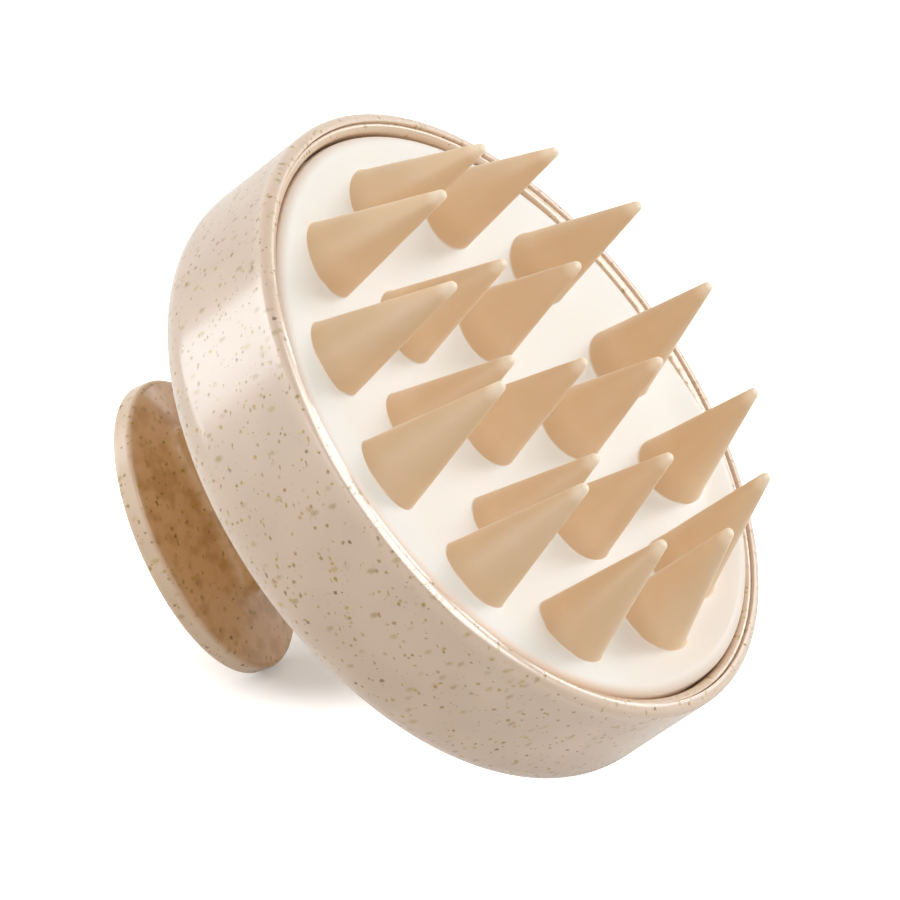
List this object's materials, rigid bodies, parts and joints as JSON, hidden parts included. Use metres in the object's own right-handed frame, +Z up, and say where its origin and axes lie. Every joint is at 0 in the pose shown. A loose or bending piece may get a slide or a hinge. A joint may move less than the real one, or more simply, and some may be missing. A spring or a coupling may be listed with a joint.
{
  "type": "scalp massage brush",
  "caption": "Round hand-held scalp massage brush: dished soft pad with conical teeth in a plastic shell, on a raked neck with an oval palm grip.",
  "frame": {"origin": "middle of the palm cap's flat face", "axes": "+Z up the grip towards the head, -X the way that the head leans, Y across the neck's thin side"},
  "size_m": [0.086, 0.085, 0.072],
  "materials": {
    "shell_plastic": "glossy beige moulding with fine plant-fibre flecks",
    "pad_silicone": "satin cream silicone",
    "plate_plastic": "plain matt moulding",
    "screw_steel": "plain steel"
  },
  "bodies": {
    "handle": {"outer_shell": "shell_plastic", "grip_handle": "shell_plastic", "palm_cap": "shell_plastic", "neck_screws": "screw_steel", "backing_plate": "plate_plastic", "plate_screws": "screw_steel"},
    "pad_insert": {"bristle_pad": "pad_silicone", "retaining_ring": "shell_plastic"}
  },
  "joints": [
    {"name": "insert_pull", "type": "slide", "parent": "handle", "child": "pad_insert", "axis": [-0.225, 0, 0.9744], "range_m": [0, 0.012]}
  ]
}
